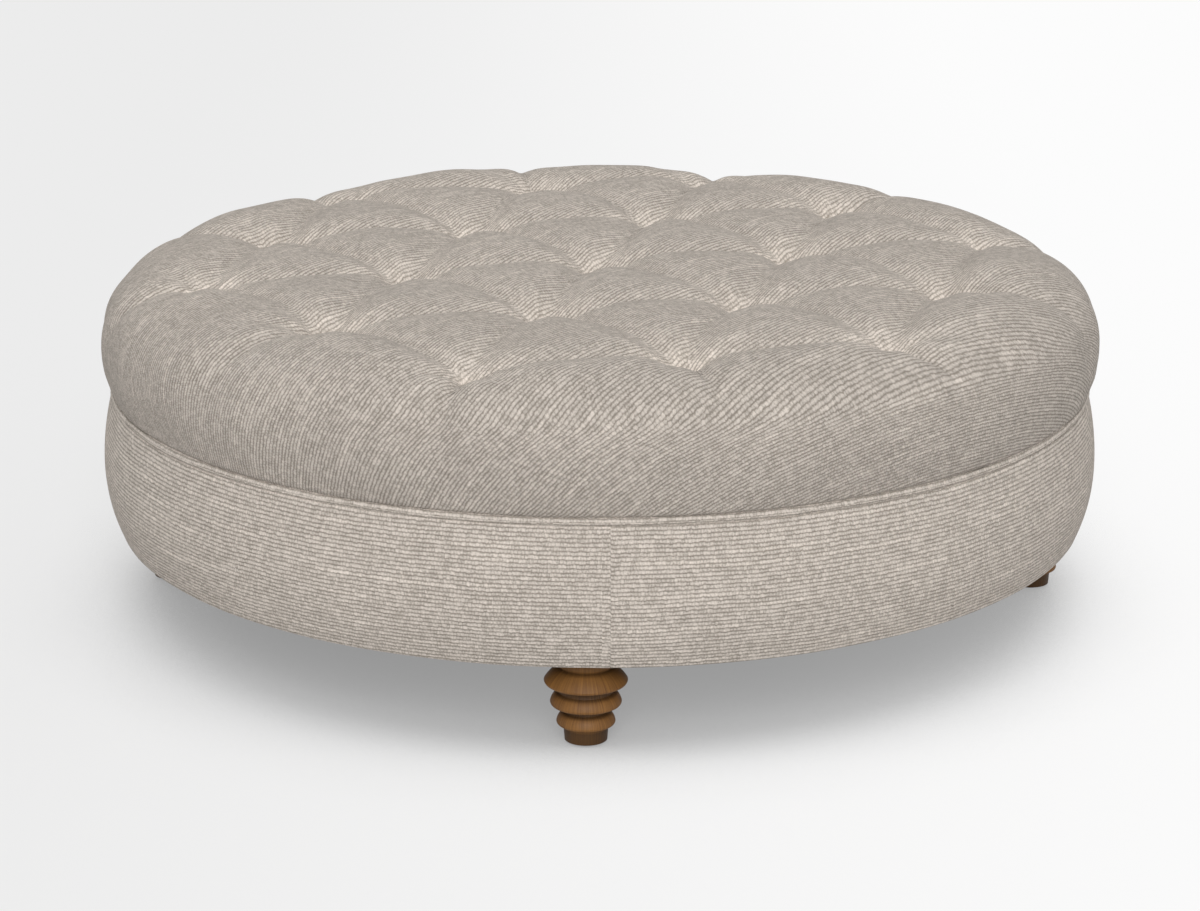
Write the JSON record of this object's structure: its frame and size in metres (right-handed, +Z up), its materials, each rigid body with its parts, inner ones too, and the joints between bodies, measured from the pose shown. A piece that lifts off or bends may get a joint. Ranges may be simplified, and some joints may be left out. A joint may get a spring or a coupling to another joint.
{
  "type": "ottoman coffee table",
  "caption": "Round upholstered ottoman coffee table with a tufted cushion top, piped seam, padded base band and short turned wooden legs.",
  "frame": {"origin": "centre of the round base, on the floor", "axes": "+Z up; the legs stand at 45, 135, 225 and 315 degrees from +X; the rows of tufts run along X"},
  "size_m": [1.22, 1.22, 0.43],
  "materials": {
    "leg_wood": "satin lacquer over a medium brown stain",
    "glide_nylon": "moulded, dull",
    "plywood": "sawn and unfinished",
    "softwood": "planed and unfinished",
    "hardboard": "pressed board, smooth outside",
    "zinc_steel": "zinc plated",
    "bright_steel": "bright drawn wire",
    "foam": "open-cell upholstery foam",
    "wadding": "soft polyester wadding",
    "rib_fabric": "chunky ribbed weave, warm greige",
    "piping_fabric": "chunky ribbed weave wrapped round a cord",
    "cotton_cord": "twisted cotton",
    "twine": "waxed tufting twine",
    "fibre_washer": "pressed fibre",
    "black_cambric": "thin bonded cloth"
  },
  "bodies": {
    "root": {"band_cover": "rib_fabric", "band_padding": "foam", "band_staples": "bright_steel", "bottom_board": "plywood", "cushion_cover": "rib_fabric", "deck_board": "plywood", "deck_screws": "zinc_steel", "deck_staples": "bright_steel", "dust_cover": "black_cambric", "dust_cover_staples": "bright_steel", "foam_core": "foam", "frame_screws": "zinc_steel", "glide_1": "glide_nylon", "glide_2": "glide_nylon", "glide_3": "glide_nylon", "glide_4": "glide_nylon", "glide_nails": "bright_steel", "hanger_bolts": "zinc_steel", "hoop_nails": "bright_steel", "hoop_panel_1": "hardboard", "hoop_panel_2": "hardboard", "hoop_panel_3": "hardboard", "hoop_panel_4": "hardboard", "joist_left": "plywood", "joist_right": "plywood", "leg_1": "leg_wood", "leg_2": "leg_wood", "leg_3": "leg_wood", "leg_4": "leg_wood", "leg_block_1": "plywood", "leg_block_2": "plywood", "leg_block_3": "plywood", "leg_block_4": "plywood", "tee_nuts": "zinc_steel", "top_ring": "plywood", "tuft_ties": "twine", "tuft_washers": "fibre_washer", "upright_1": "softwood", "upright_2": "softwood", "upright_3": "softwood", "upright_4": "softwood", "upright_5": "softwood", "upright_6": "softwood", "upright_7": "softwood", "upright_8": "softwood", "wadding": "wadding", "welt_cord": "cotton_cord", "welt_cover": "piping_fabric"}
  },
  "joints": []
}
